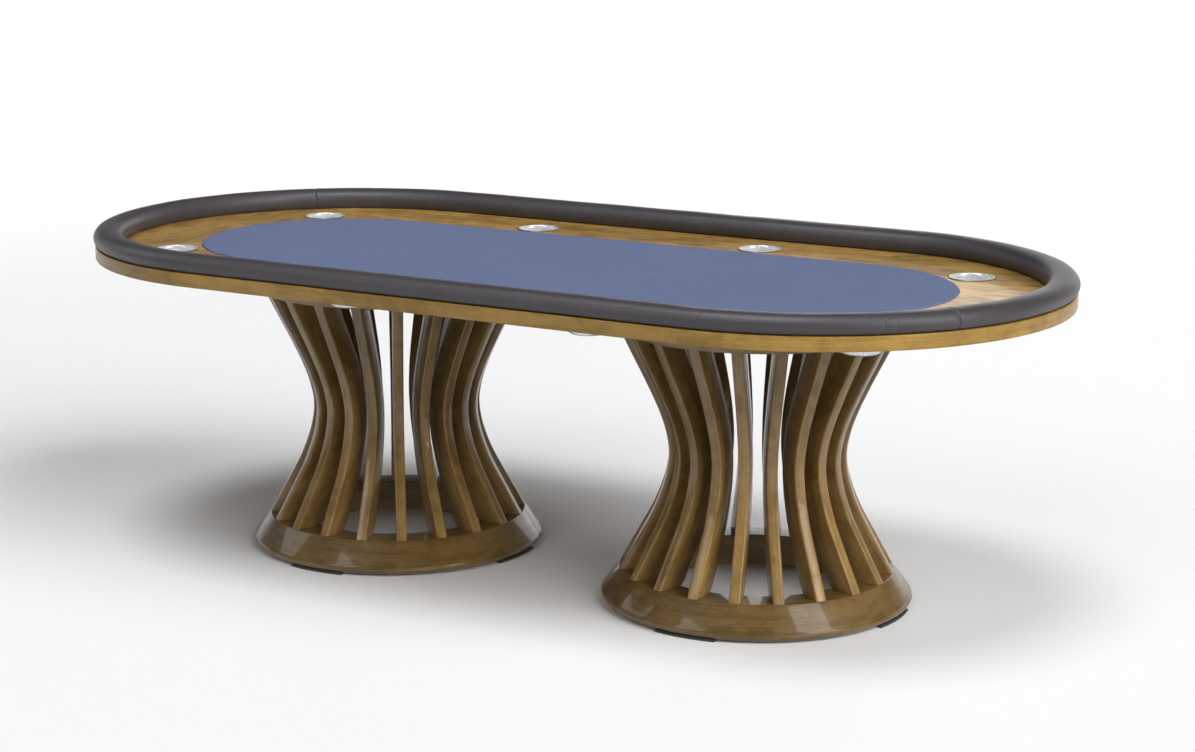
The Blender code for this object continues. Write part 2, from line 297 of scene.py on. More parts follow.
class ShaderGroups:
    """Node groups that several finishes share, each built once.

    The wood's scales are repeats to the metre along, across and through the grain.
    """

    SWAY_SCALE = (1.1, 3.0, 3.0)
    BAND_SCALE = (1.3, 46.0, 46.0)
    STREAK_SCALE = (4.5, 260.0, 260.0)
    BLOTCH_SCALE = (5.0, 9.0, 9.0)
    CLOUD_SCALE = (14.0, 30.0, 30.0)
    PORE_SCALE = (55.0, 1500.0, 1500.0)
    SWAY_WIDTH = 0.022
    PORE_DEPTH_OF_COLOUR = 0.55
    STREAK_HEIGHT = 0.35

    def __init__(self) -> None:
        """Build every group."""
        self.wood = self._wood()
        self.handling = self._handling()

    @staticmethod
    def _group(name: str, inputs: Sequence[tuple[str, str, object]],
               outputs: Sequence[tuple[str, str]]) -> tuple[bpy.types.NodeTree, NodeSketch,
                                                             bpy.types.Node, bpy.types.Node]:
        """Start a shader group.

        Args:
            name: the group's name.
            inputs: name, socket type and default of each input.
            outputs: name and socket type of each output.

        Returns:
            The tree, a sketch on it, and its input and output nodes.
        """
        tree = bpy.data.node_groups.new(name, "ShaderNodeTree")
        for label, kind, default in inputs:
            socket = tree.interface.new_socket(label, in_out="INPUT", socket_type=kind)
            if default is not None:
                socket.default_value = default
        for label, kind in outputs:
            tree.interface.new_socket(label, in_out="OUTPUT", socket_type=kind)
        sketch = NodeSketch(tree)
        return tree, sketch, sketch.add("NodeGroupInput"), sketch.add("NodeGroupOutput")

    def _wood(self) -> bpy.types.NodeTree:
        """Straight-grained hardwood: bands, fine streaks, blotches and open pores.

        Returns:
            The group.
        """
        tree, s, enter, leave = self._group(
            "straight_grain_wood",
            [("Grain", "NodeSocketVector", None), ("Tone", "NodeSocketFloat", 0.0),
             ("Light", "NodeSocketColor", (0.5, 0.3, 0.15, 1)),
             ("Dark", "NodeSocketColor", (0.3, 0.18, 0.08, 1)),
             ("Pore", "NodeSocketColor", (0.1, 0.05, 0.02, 1)),
             ("Figure", "NodeSocketFloat", 1.0)],
            [("Color", "NodeSocketColor"), ("Height", "NodeSocketFloat"),
             ("Polish", "NodeSocketFloat")])
        grain = enter.outputs["Grain"]
        sway = s.noise(s.scaled(grain, self.SWAY_SCALE), 1.6, 2.0)
        bend = s.add("ShaderNodeCombineXYZ")
        s.join(s.math("MULTIPLY", sway, self.SWAY_WIDTH), bend.inputs[1])
        swayed = s.add("ShaderNodeVectorMath", operation="ADD")
        s.join(grain, swayed.inputs[0])
        s.join(bend.outputs[0], swayed.inputs[1])
        lane = swayed.outputs[0]
        bands = s.noise(s.scaled(lane, self.BAND_SCALE), 1.0, 5.0, 0.62, 0.4)
        streaks = s.noise(s.scaled(lane, self.STREAK_SCALE), 1.0, 3.0, 0.6)
        pores = s.noise(s.scaled(lane, self.PORE_SCALE), 1.0, 1.0)
        blotch = s.noise(s.scaled(grain, self.BLOTCH_SCALE), 1.0, 2.0)
        cloud = s.noise(s.scaled(grain, self.CLOUD_SCALE), 1.0, 4.0, 0.65, 0.6)
        mix = s.math("ADD", s.math("MULTIPLY", s.span(bands, 0.32, 0.70), 0.42),
                     s.math("MULTIPLY", s.span(streaks, 0.36, 0.66), 0.34))
        mix = s.math("ADD", mix, s.span(blotch, 0.3, 0.7, -0.16, 0.30))
        mix = s.math("ADD", mix, s.span(cloud, 0.36, 0.66, -0.24, 0.42))
        mix = s.math("MULTIPLY", mix, enter.outputs["Figure"], clamp=True)
        colour = s.blend(mix, enter.outputs["Light"], enter.outputs["Dark"])
        pore = s.span(pores, 0.63, 0.74)
        colour = s.blend(s.math("MULTIPLY", pore, self.PORE_DEPTH_OF_COLOUR), colour,
                         enter.outputs["Pore"])
        lift = s.add("ShaderNodeHueSaturation")
        s.join(s.math("ADD", enter.outputs["Tone"], 1.0), lift.inputs["Value"])
        s.join(colour, lift.inputs["Color"])
        s.join(lift.outputs["Color"], leave.inputs["Color"])
        s.join(s.math("SUBTRACT", s.math("MULTIPLY", streaks, self.STREAK_HEIGHT), pore),
               leave.inputs["Height"])
        s.join(s.math("ADD", s.math("MULTIPLY", mix, 0.5), s.math("MULTIPLY", pore, 0.5)),
               leave.inputs["Polish"])
        return tree

    def _handling(self) -> bpy.types.NodeTree:
        """Faint smudges and dust that break up an even surface.

        Returns:
            The group.
        """
        tree, s, enter, leave = self._group(
            "handling_marks",
            [("Place", "NodeSocketVector", None), ("Size", "NodeSocketFloat", 8.0)],
            [("Smudge", "NodeSocketFloat"), ("Dust", "NodeSocketFloat")])
        place = s.add("ShaderNodeVectorMath", operation="SCALE")
        s.join(enter.outputs["Place"], place.inputs[0])
        s.join(enter.outputs["Size"], place.inputs["Scale"])
        broad = s.noise(place.outputs[0], 1.0, 4.0, 0.6, 0.8)
        fine = s.noise(place.outputs[0], 31.0, 2.0, 0.6)
        s.join(s.span(broad, 0.35, 0.7), leave.inputs["Smudge"])
        s.join(s.math("MULTIPLY", s.span(broad, 0.45, 0.75), s.span(fine, 0.5, 0.75)),
               leave.inputs["Dust"])
        return tree


# ------------------------------------------------------------------ finishes
def shaded(colour: Colour, factor: float) -> Colour:
    """Make a colour lighter or darker by a factor."""
    return tuple(c * factor for c in colour)


def new_material(name: str) -> tuple[bpy.types.Material, NodeSketch, bpy.types.Node]:
    """Make a material with one Principled shader.

    Args:
        name: the material's name.

    Returns:
        The material, a sketch on its tree, and the shader.
    """
    mat = bpy.data.materials.new(name)
    mat.use_nodes = True
    return mat, NodeSketch(mat.node_tree), mat.node_tree.nodes["Principled BSDF"]


@dataclass(frozen=True)
class WoodFinish:
    """Stained wood under clear lacquer."""

    name: str
    light: Colour
    dark: Colour
    pore: Colour
    roughness: float = 0.30
    coat: float = 0.55
    coat_roughness: float = 0.08
    figure: float = 1.0
    relief: float = 0.00006
    specular: float = 0.35
    grain_dulling: float = 0.10
    smudge_dulling: float = 0.05
    smudge_size: float = 6.0

    def build(self, groups: ShaderGroups) -> bpy.types.Material:
        """Make the material.

        Args:
            groups: the shared shader groups.

        Returns:
            The material.
        """
        mat, s, shader = new_material(self.name)
        wood = s.group(groups.wood, Light=self.light, Dark=self.dark, Pore=self.pore,
                       Figure=self.figure,
                       Grain=s.add("ShaderNodeAttribute", attribute_name=GRAIN).outputs["Vector"],
                       Tone=s.add("ShaderNodeAttribute", attribute_name=TONE).outputs["Fac"])
        marks = s.group(groups.handling, Place=s.spot(), Size=self.smudge_size)
        s.join(wood.outputs["Color"], shader.inputs["Base Color"])
        rough = s.math("ADD", s.math("MULTIPLY", wood.outputs["Polish"], self.grain_dulling),
                       s.math("MULTIPLY", marks.outputs["Smudge"], self.smudge_dulling))
        s.join(s.math("ADD", rough, self.roughness - 0.06), shader.inputs["Roughness"])
        s.join(s.bump(wood.outputs["Height"], 0.6, self.relief), shader.inputs["Normal"])
        shader.inputs["Coat Weight"].default_value = self.coat
        shader.inputs["Coat Roughness"].default_value = self.coat_roughness
        shader.inputs["Specular IOR Level"].default_value = self.specular
        return mat


@dataclass(frozen=True)
class PlywoodFinish:
    """Birch plywood, with its plies showing on the edges."""

    name: str = "birch_plywood"
    face: Colour = (0.48, 0.34, 0.19)
    ply: Colour = (0.24, 0.15, 0.08)
    ply_pitch: float = 0.0028
    figure: float = 0.7
    relief: float = 0.0001

    def build(self, groups: ShaderGroups) -> bpy.types.Material:
        """Make the material.

        Args:
            groups: the shared shader groups.

        Returns:
            The material.
        """
        mat, s, shader = new_material(self.name)
        where = s.spot()
        wood = s.group(groups.wood, Grain=where, Light=self.face, Dark=shaded(self.face, 0.72),
                       Pore=self.ply, Figure=self.figure)
        layer = s.math("FRACT", s.math("DIVIDE", s.split(where)[2], self.ply_pitch))
        facing = s.split(s.add("ShaderNodeNewGeometry").outputs["Normal"])
        edge = s.span(s.math("ABSOLUTE", facing[2]), 0.3, 0.6, 1.0, 0.0)
        stripe = s.math("MULTIPLY", s.span(layer, 0.42, 0.58), edge)
        s.join(s.blend(s.math("MULTIPLY", stripe, 0.6), wood.outputs["Color"], self.ply),
               shader.inputs["Base Color"])
        s.join(s.span(wood.outputs["Polish"], 0.0, 1.0, 0.55, 0.75), shader.inputs["Roughness"])
        s.join(s.bump(wood.outputs["Height"], 0.5, self.relief), shader.inputs["Normal"])
        return mat


@dataclass(frozen=True)
class VinylFinish:
    """Soft charcoal upholstery vinyl with a fine pebble grain."""

    name: str = "charcoal_vinyl"
    base: Colour = (0.050, 0.045, 0.051)
    # darker colour painted into the creases between the pebbles as shade
    low: Colour = (0.034, 0.030, 0.034)
    pebble_scale: float = 620.0
    pebble_relief: float = 0.00018
    warp_scale: float = 180.0
    warp_reach: float = 0.0012
    roughness: float = 0.43
    specular: float = 0.52
    smudge_size: float = 5.0

    def build(self, groups: ShaderGroups) -> bpy.types.Material:
        """Make the material.

        Args:
            groups: the shared shader groups.

        Returns:
            The material.
        """
        mat, s, shader = new_material(self.name)
        where = s.spot()
        cell = s.add("ShaderNodeTexVoronoi", feature="DISTANCE_TO_EDGE")
        warp = s.add("ShaderNodeTexNoise")
        s.join(where, warp.inputs["Vector"])
        warp.inputs["Scale"].default_value = self.warp_scale
        shift = s.add("ShaderNodeVectorMath", operation="MULTIPLY_ADD")
        s.join(warp.outputs["Color"], shift.inputs[0])
        shift.inputs[1].default_value = (self.warp_reach,) * 3
        s.join(where, shift.inputs[2])
        s.join(shift.outputs[0], cell.inputs["Vector"])
        cell.inputs["Scale"].default_value = self.pebble_scale
        crease = s.span(cell.outputs["Distance"], 0.0, 0.16)
        marks = s.group(groups.handling, Place=where, Size=self.smudge_size)
        # painted shade: darkens the creases between the pebbles
        colour = s.blend(s.math("MULTIPLY", crease, 0.55), self.low, self.base)
        colour = s.blend(s.math("MULTIPLY", marks.outputs["Smudge"], 0.22), colour,
                         shaded(self.base, 1.35))
        s.join(colour, shader.inputs["Base Color"])
        rough = s.math("SUBTRACT", self.roughness,
                       s.math("MULTIPLY", marks.outputs["Smudge"], 0.06))
        s.join(s.math("SUBTRACT", rough, s.math("MULTIPLY", crease, 0.04)),
               shader.inputs["Roughness"])
        s.join(s.bump(crease, 0.35, self.pebble_relief), shader.inputs["Normal"])
        shader.inputs["Specular IOR Level"].default_value = self.specular
        return mat


@dataclass(frozen=True)
class ClothFinish:
    """Tightly woven speed cloth."""

    name: str = "blue_speed_cloth"
    base: Colour = (0.116, 0.143, 0.247)
    shade: Colour = (0.094, 0.118, 0.210)
    thread: float = 0.0011
    slub_along: float = 6.0
    slub_across: float = 420.0
    relief: float = 0.0002
    specular: float = 0.12

    def build(self) -> bpy.types.Material:
        """Make the material.

        Returns:
            The material.
        """
        mat, s, shader = new_material(self.name)
        where = s.spot()
        x, y, _ = s.split(where)
        turns = 2.0 * math.pi / self.thread
        weave = s.math("MULTIPLY", s.math("SINE", s.math("MULTIPLY", x, turns)),
                       s.math("SINE", s.math("MULTIPLY", y, turns)))
        along, across = self.slub_along, self.slub_across
        warp = s.noise(s.scaled(where, (along, across, along)), 1.0, 3.0, 0.6)
        weft = s.noise(s.scaled(where, (across, along, along)), 1.0, 3.0, 0.6)
        nap = s.noise(where, 9.0, 3.0)
        lay = s.math("ADD", s.span(warp, 0.3, 0.7, 0.0, 0.5), s.span(weft, 0.3, 0.7, 0.0, 0.3))
        lay = s.math("ADD", lay, s.math("MULTIPLY", s.span(weave, -1.0, 1.0), 0.25), clamp=True)
        colour = s.blend(s.span(nap, 0.3, 0.7, 0.0, 0.16), s.blend(lay, self.base, self.shade),
                         shaded(self.base, 1.15))
        s.join(colour, shader.inputs["Base Color"])
        s.join(s.span(warp, 0.2, 0.8, 0.80, 0.92), shader.inputs["Roughness"])
        s.join(s.bump(s.math("ADD", s.math("MULTIPLY", weave, 0.5), warp), 0.5, self.relief),
               shader.inputs["Normal"])
        shader.inputs["Specular IOR Level"].default_value = self.specular
        return mat


@dataclass(frozen=True)
class SteelFinish:
    """Stainless steel, spun and polished."""

    name: str = "spun_stainless_steel"
    base: Colour = (0.88, 0.88, 0.89)
    roughness: float = 0.24
    metallic: float = 0.62
    # painted shade: colour of the dark line painted round the flange's outer rim
    painted_rim_shade: Colour = (0.10, 0.098, 0.095)
    edge: float = 0.0500
    edge_fade: float = 0.0012
    smudge_size: float = 25.0
    spin_scale: tuple[float, float, float] = (3.0, 1800.0, 1800.0)
    relief: float = 0.00003

    def build(self, groups: ShaderGroups) -> bpy.types.Material:
        """Make the material.

        Args:
            groups: the shared shader groups.

        Returns:
            The material.
        """
        mat, s, shader = new_material(self.name)
        turned = s.add("ShaderNodeAttribute", attribute_name=GRAIN).outputs["Vector"]
        lines = s.noise(s.scaled(turned, self.spin_scale), 1.0, 3.0, 0.7)
        brushed = s.span(lines, 0.3, 0.7)
        marks = s.group(groups.handling, Place=s.spot(), Size=self.smudge_size)
        shader.inputs["Metallic"].default_value = self.metallic
        colour = s.blend(brushed, self.base, shaded(self.base, 0.88))
        # painted shade: darkens the flange's outer rim, beyond radius edge
        lip = s.span(s.split(turned)[1], self.edge, self.edge + self.edge_fade, 0.0, 0.85)
        s.join(s.blend(lip, colour, self.painted_rim_shade), shader.inputs["Base Color"])
        rough = s.math("ADD", s.math("MULTIPLY", marks.outputs["Smudge"], 0.10),
                       s.math("MULTIPLY", brushed, 0.06))
        s.join(s.math("ADD", rough, self.roughness - 0.06), shader.inputs["Roughness"])
        s.join(s.bump(lines, 0.12, self.relief), shader.inputs["Normal"])
        return mat


@dataclass(frozen=True)
class RubberFinish:
    """Dull dark grey felted rubber."""

    name: str = "foot_pad_rubber"
    base: Colour = (0.036, 0.036, 0.032)
    dust: Colour = (0.16, 0.15, 0.14)
    speck_scale: float = 900.0
    relief: float = 0.0003

    def build(self, groups: ShaderGroups) -> bpy.types.Material:
        """Make the material.

        Args:
            groups: the shared shader groups.

        Returns:
            The material.
        """
        mat, s, shader = new_material(self.name)
        where = s.spot()
        speck = s.noise(where, self.speck_scale, 2.0)
        marks = s.group(groups.handling, Place=where)
        colour = s.blend(s.span(speck, 0.45, 0.7, 0.0, 0.5), self.base, shaded(self.base, 1.7))
        s.join(s.blend(s.math("MULTIPLY", marks.outputs["Dust"], 0.3), colour, self.dust),
               shader.inputs["Base Color"])
        s.join(s.span(speck, 0.3, 0.7, 0.78, 0.92), shader.inputs["Roughness"])
        s.join(s.bump(speck, 0.4, self.relief), shader.inputs["Normal"])
        return mat


@dataclass(frozen=True)
class FloorFinish:
    """Plain pale studio floor with painted shade: darker near the table, a little brighter far
    from it.
    """

    name: str = "studio_floor"
    base: Colour = (0.745, 0.747, 0.753)
    distant: Colour = (0.90, 0.90, 0.90)
    near_ends: float = 3.4
    far_starts: float = 8.0

    def build(self) -> bpy.types.Material:
        """Make the material.

        Returns:
            The material.
        """
        mat, s, shader = new_material(self.name)
        away = s.add("ShaderNodeVectorMath", operation="LENGTH")
        s.join(s.spot(), away.inputs[0])
        # painted light and shade: darker within a few metres of the table, brighter far off
        far = s.span(away.outputs["Value"], self.near_ends, self.far_starts)
        s.join(s.blend(far, self.base, self.distant), shader.inputs["Base Color"])
        shader.inputs["Roughness"].default_value = 0.55
        shader.inputs["Specular IOR Level"].default_value = 0.2
        return mat


# ------------------------------------------------------------------ mesh building
@dataclass(frozen=True)
class Board:
    """One straight board: which way its grain runs, its shade and its own cut of the log."""

    direction: float
    tone: float
    offset: float

    def grain(self, spot: Vector) -> tuple[float, float, float]:
        """Find a point's place in the board.

        Args:
            spot: the point, in the scene.

        Returns:
            Its place along, across and through the grain.
        """
        cos, sin = math.cos(self.direction), math.sin(self.direction)
        return (spot.x * cos + spot.y * sin + self.offset * 3.1,
                spot.y * cos - spot.x * sin + self.offset, spot.z + self.offset * 0.7)


class MeshSketch:
    """Collects a mesh's points with their grain, then its faces."""

    def __init__(self, name: str) -> None:
        """Start a mesh.

        Args:
            name: the piece's name.
        """
        self.name = name
        self.points: list[Vector] = []
        self.grain: list[tuple[float, float, float]] = []
        self.tone: list[float] = []
        self.faces: list[tuple[int, ...]] = []
        self.boards: dict[int, Board] = {}

    def point(self, place: Vector, grain: tuple[float, float, float] = (0.0, 0.0, 0.0),
              tone: float = 0.0) -> int:
        """Add a point.

        Args:
            place: where it is, in metres.
            grain: its place along, across and through the wood.
            tone: the shade of its board.

        Returns:
            Its number.
        """
        self.points.append(place)
        self.grain.append(grain)
        self.tone.append(tone)
        return len(self.points) - 1

    def strip(self, low: Sequence[int], high: Sequence[int], closed: bool) -> None:
        """Join two rows of points with quads.

        Args:
            low: the first row.
            high: the second row.
            closed: whether the rows run round to their start.
        """
        count = len(low)
        for k in range(count if closed else count - 1):
            n = (k + 1) % count
            self.faces.append((low[k], low[n], high[n], high[k]))

    def loft(self, rows: Sequence[Sequence[int]]) -> None:
        """Join closed rows of points into a tube and cap its two ends.

        Args:
            rows: the rows, in order.
        """
        for low, high in zip(rows, rows[1:]):
            self.strip(low, high, closed=True)
        self.faces += [tuple(rows[0]), tuple(rows[-1])]

    def finish(self, material: bpy.types.Material,
               smooth_below: float = math.radians(32.0)) -> bpy.types.Object:
        """Turn the sketch into an object.

        Args:
            material: its finish.
            smooth_below: edges flatter than this are shaded smooth.

        Returns:
            The object.
        """
        mesh = bpy.data.meshes.new(self.name)
        mesh.from_pydata(self.points, [], self.faces)
        grain, tone = [], []
        for number, face in enumerate(self.faces):
            board = self.boards.get(number)
            for corner in face:
                grain += board.grain(self.points[corner]) if board else self.grain[corner]
                tone.append(board.tone if board else self.tone[corner])
        mesh.attributes.new(GRAIN, "FLOAT_VECTOR", "CORNER").data.foreach_set("vector", grain)
        mesh.attributes.new(TONE, "FLOAT", "CORNER").data.foreach_set("value", tone)
        bm = bmesh.new()
        bm.from_mesh(mesh)
        bmesh.ops.recalc_face_normals(bm, faces=bm.faces)
        for face in bm.faces:
            face.smooth = True
        for edge in bm.edges:
            if len(edge.link_faces) == 2 and edge.calc_face_angle(0.0) > smooth_below:
                edge.smooth = False
        bm.to_mesh(mesh)
        bm.free()
        mesh.materials.append(material)
        obj = bpy.data.objects.new(self.name, mesh)
        bpy.context.scene.collection.objects.link(obj)
        return obj


def rounded(section: Section, radii: Sequence[float], steps: int = 4) -> Section:
    """Round the corners of a closed section.

    Args:
        section: the corner points, as radius and height.
        radii: how far each corner is cut back along its two sides.
        steps: the segments in a rounded corner.

    Returns:
        The rounded section.
    """
    out: Section = []
    count = len(section)
    for k, (corner, radius) in enumerate(zip(section, radii)):
        if radius <= 0.0:
            out.append(corner)
            continue
        here = Vector(corner)
        before = Vector(section[k - 1])
        after = Vector(section[(k + 1) % count])
        start = here + (before - here).normalized() * radius
        end = here + (after - here).normalized() * radius
        for step in range(steps + 1):
            t = step / steps
            spot = start * (1 - t) ** 2 + here * 2 * t * (1 - t) + end * t ** 2
            out.append((spot.x, spot.y))
    return out


@dataclass(frozen=True)
class Oval:
    """The table's plan: two straight runs joined by half circles."""

    half_straight: float
    reference: float

    @property
    def arc_length(self) -> float:
        """Length of one half circle at the reference radius."""
        return math.pi * self.reference

    @property
    def length(self) -> float:
        """Length right round at the reference radius."""
        return 2.0 * self.arc_length + 4.0 * self.half_straight

    @property
    def corners(self) -> tuple[float, float, float, float]:
        """Where straights and half circles meet, as distances round the oval."""
        run = 2.0 * self.half_straight
        return (0.0, self.arc_length, self.arc_length + run, 2.0 * self.arc_length + run)

    def at_angle(self, angle: float) -> float:
        """Find how far round a point of a half circle is.

        Args:
            angle: counted from the right half circle's front end; the left one starts at pi.

        Returns:
            The distance round the oval.
        """
        past_straight = 2.0 * self.half_straight if angle > math.pi else 0.0
        return angle * self.reference + past_straight

    def place(self, distance: float, radius: float, height: float) -> Vector:
        """Find a point beside the oval's spine.

        Args:
            distance: how far round, from the front end of the right half circle.
            radius: how far out from the spine.
            height: how high.

        Returns:
            The point.
        """
        _, one, two, three = self.corners
        d = distance % self.length
        if d < one:
            angle, centre = d / self.reference - math.pi / 2, self.half_straight
        elif d < two:
            angle, centre = math.pi / 2, self.half_straight - (d - one)
        elif d < three:
            angle, centre = math.pi / 2 + (d - two) / self.reference, -self.half_straight
        else:
            angle, centre = -math.pi / 2, -self.half_straight + (d - three)
        return Vector((centre + radius * math.cos(angle), radius * math.sin(angle), height))

    def stations(self, arc_steps: int, straight_steps: int,
                 extra: Sequence[float] = ()) -> list[float]:
        """List the distances at which a section is laid.

        Args:
            arc_steps: the steps in a half circle.
            straight_steps: the steps in a straight.
            extra: further distances.

        Returns:
            The sorted distances.
        """
        found: list[float] = [e % self.length for e in extra]
        marks = (*self.corners, self.length)
        for k, steps in enumerate((arc_steps, straight_steps, arc_steps, straight_steps)):
            span = marks[k + 1] - marks[k]
            found += [marks[k] + span * i / steps for i in range(steps)]
        found.sort()
        return [d for i, d in enumerate(found) if i == 0 or d - found[i - 1] > 1e-5]


def sweep(sketch: MeshSketch, oval: Oval, section: Section, stations: Sequence[float],
          shape: Callable[[float, float, float], tuple[float, float]] | None = None,
          tone: Callable[[float], float] | None = None) -> None:
    """Carry a closed section round the oval.

    Args:
        sketch: the mesh to add to.
        oval: the path.
        section: radius and height of each point of the section.
        stations: the distances at which it is laid.
        shape: moves a section point, given the distance, radius and height.
        tone: the board's shade at a distance.
    """
    rows = []
    for d in stations:
        row = []
        shade = tone(d) if tone else 0.0
        for r, z in section:
            r2, z2 = shape(d, r, z) if shape else (r, z)
            row.append(sketch.point(oval.place(d, r2, z2), (d, r, z), shade))
        rows.append(row)
    for low, high in zip(rows, rows[1:] + rows[:1]):
        sketch.strip(low, high, closed=True)


def turn(sketch: MeshSketch, centre: Sequence[float], section: Section, steps: int,
         open_ends: bool = False, wood_radius: float = 0.3, tone: float = 0.0) -> None:
    """Turn a section about a vertical axis.

    Args:
        sketch: the mesh to add to.
        centre: where the axis stands.
        section: radius and height of each point.
        steps: the steps right round.
        open_ends: whether the section starts and ends on the axis.
        wood_radius: the radius at which the grain is measured.
        tone: the shade of the wood.
    """
    rows = []
    for k in range(steps):
        angle = 2.0 * math.pi * k / steps
        row = []
        for r, z in section:
            spot = Vector((centre[0] + r * math.cos(angle), centre[1] + r * math.sin(angle), z))
            row.append(sketch.point(spot, (wood_radius * angle, r, z), tone))
        rows.append(row)
    for low, high in zip(rows, rows[1:] + rows[:1]):
        sketch.strip(low, high, closed=not open_ends)
    if open_ends:
        for end in (0, -1):
            sketch.faces.append(tuple(row[end] for row in rows))


def place(piece: bpy.types.Object, node: str,
          body: str = Part.TABLE.value) -> bpy.types.Object:
    """Let a piece stand for a CAD node and ride on a body.

    Args:
        piece: the piece.
        node: the CAD node that it replaces.
        body: the body that it moves with.

    Returns:
        The piece.
    """
    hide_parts(node)
    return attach(piece, body)


# ------------------------------------------------------------------ sub-assemblies
@dataclass
class Finishes:
    """Every material of the table."""

    vinyl: bpy.types.Material
    skirt: bpy.types.Material
    track: bpy.types.Material
    pedestal: bpy.types.Material
    plywood: bpy.types.Material
    cloth: bpy.types.Material
    steel: bpy.types.Material
    rubber: bpy.types.Material

    @classmethod
    def make(cls) -> "Finishes":
        """Build the shader groups and the materials.

        Returns:
            The finishes.
        """
        groups = ShaderGroups()
        return cls(
            vinyl=VinylFinish().build(groups),
            skirt=WoodFinish("golden_skirt_wood", (0.340, 0.202, 0.044), (0.200, 0.114, 0.018),
                             (0.10, 0.055, 0.02), roughness=0.42, coat=0.22).build(groups),
            track=WoodFinish("golden_racetrack_wood", (0.400, 0.240, 0.070),
                             (0.190, 0.108, 0.022), (0.09, 0.05, 0.018), roughness=0.40,
                             coat=0.35).build(groups),
            pedestal=WoodFinish("olive_pedestal_wood", (0.266, 0.164, 0.054),
                                (0.146, 0.086, 0.021), (0.06, 0.035, 0.010), roughness=0.36,
                                coat=0.62, coat_roughness=0.06).build(groups),
            plywood=PlywoodFinish().build(groups),
            cloth=ClothFinish().build(),
            steel=SteelFinish().build(groups),
            rubber=RubberFinish().build(groups))


@dataclass
class Rail:
    """The padded rail round the table: foam under tight vinyl, with two sewn seams."""

    finishes: Finishes
    half_straight: float = 0.6150
    inner: float = 0.5145
    outer: float = 0.5790
    seam_depth: float = 0.0016
    seam_width: float = 0.0013
    puff_height: float = 0.0004
    puff_offset: float = 0.012
    puff_width: float = 0.009
    pucker_depth: float = 0.0005
    pucker_width: float = 0.0022
    stretch: float = 0.0004
    swell: float = 0.0006
    seam_angles: tuple[float, ...] = (math.radians(57.0), math.radians(223.0))
    pucker_angles: tuple[float, ...] = (math.radians(4.5), math.radians(41.0),
                                        math.radians(43.5), math.radians(189.0))
    near_marks: tuple[float, ...] = (0.0, 0.0006, 0.0012, 0.0018, 0.0026, 0.0036, 0.005, 0.007,
                                     0.010, 0.015)
    arc_steps: int = 110
    straight_steps: int = 60
    channel_gap: float = 0.0004
    core_inset: float = 0.0085
    outer_foot: float = 0.7300                      # lowest the vinyl goes over the skirt
    inner_foot: float = 0.7211                      # and over the racetrack
    foot_zone: float = 0.735                        # points below this are held to those two
    outer_zone: float = 0.018
    spine: float = 0.032                            # from the inner edge to the path's radius
    middle: tuple[float, float] = (0.034, 0.7450)   # the roll's core: from the inner edge, height
    pad_node: str = "rail_pad"
    core_node: str = "rail_core"

    def section(self) -> Section:
        """Lay out the pad's section: a crowned roll that wraps its core.

        Returns:
            The section, as radius and height, with the four corners of the core's channel last.
        """
        low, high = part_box(self.pad_node)
        core_low, core_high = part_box(self.core_node)
        top, foot, r0 = high.z, low.z, self.inner
        roof = core_high.z + self.channel_gap
        core_in = r0 + self.core_inset - self.channel_gap
        core_out = -core_low.y + self.channel_gap
        crown = [(r0 + 0.0066, foot + 0.0002), (r0 + 0.0046, foot + 0.0022),
                 (r0 + 0.0022, foot + 0.0058), (r0 + 0.0004, foot + 0.0105),
                 (r0 - 0.0008, foot + 0.0165), (r0 - 0.0010, foot + 0.0230),
                 (r0 + 0.0002, foot + 0.0295), (r0 + 0.0026, foot + 0.0353),
                 (r0 + 0.0062, foot + 0.0402), (r0 + 0.0110, foot + 0.0439),
                 (r0 + 0.0170, foot + 0.0466), (r0 + 0.0240, foot + 0.0482),
                 (r0 + 0.0315, top), (r0 + 0.0390, top),
                 (r0 + 0.0462, foot + 0.0481), (r0 + 0.0528, foot + 0.0462),
                 (r0 + 0.0585, foot + 0.0430), (r0 + 0.0629, foot + 0.0386),
                 (r0 + 0.0660, foot + 0.0336), (r0 + 0.0678, foot + 0.0284),
                 (r0 + 0.0681, foot + 0.0232), (r0 + 0.0671, foot + 0.0184),
                 (r0 + 0.0652, foot + 0.0143), (r0 + 0.0627, foot + 0.0112),
                 (r0 + 0.0600, self.outer_foot)]
        return crown + [(core_out, self.outer_foot), (core_out, roof), (core_in, roof),
                        (core_in, foot + 0.0002)]

    @staticmethod
    def _off(oval: Oval, distance: float, angles: Sequence[float]) -> float:
        """Measure how far a place is from the nearest of some marks.

        Args:
            oval: the rail's path.
            distance: the place, as a distance round it.
            angles: where the marks are.

        Returns:
            The distance along the rail.
        """
        gaps = [abs(distance - oval.at_angle(angle)) for angle in angles]
        return min(min(gap, oval.length - gap) for gap in gaps)

    def _pressed(self, oval: Oval, channel: Section, distance: float, radius: float,
                 height: float) -> tuple[float, float]:
        """Move a point of the section for the seams, the puckers and the swell of the foam.

        Args:
            oval: the rail's path.
            channel: the points that the core holds still.
            distance: how far round the section is.
            radius: the point's radius.
            height: the point's height.

        Returns:
            Its new radius and height.
        """
        if (radius, height) in channel:
            return radius, height
        off = self._off(oval, distance, self.seam_angles)
        seam = math.exp(-(off / self.seam_width) ** 2)
        puff = math.exp(-((off - self.puff_offset) / self.puff_width) ** 2)
        pucker = math.exp(-(self._off(oval, distance, self.pucker_angles)
                            / self.pucker_width) ** 2)
        wave = noise.noise(Vector((distance * 9.0, radius * 30.0, height * 30.0))) * self.swell
        across, up = self.middle
        out = Vector((radius - self.inner - across, height - up)).normalized()
        push = (wave - seam * self.seam_depth - pucker * self.pucker_depth
                + puff * self.puff_height - self.stretch)
        lifted = height + out.y * push
        floor = self.outer_foot if radius > self.outer - self.outer_zone else self.inner_foot
        return radius + out.x * push, max(lifted, floor) if height < self.foot_zone else lifted

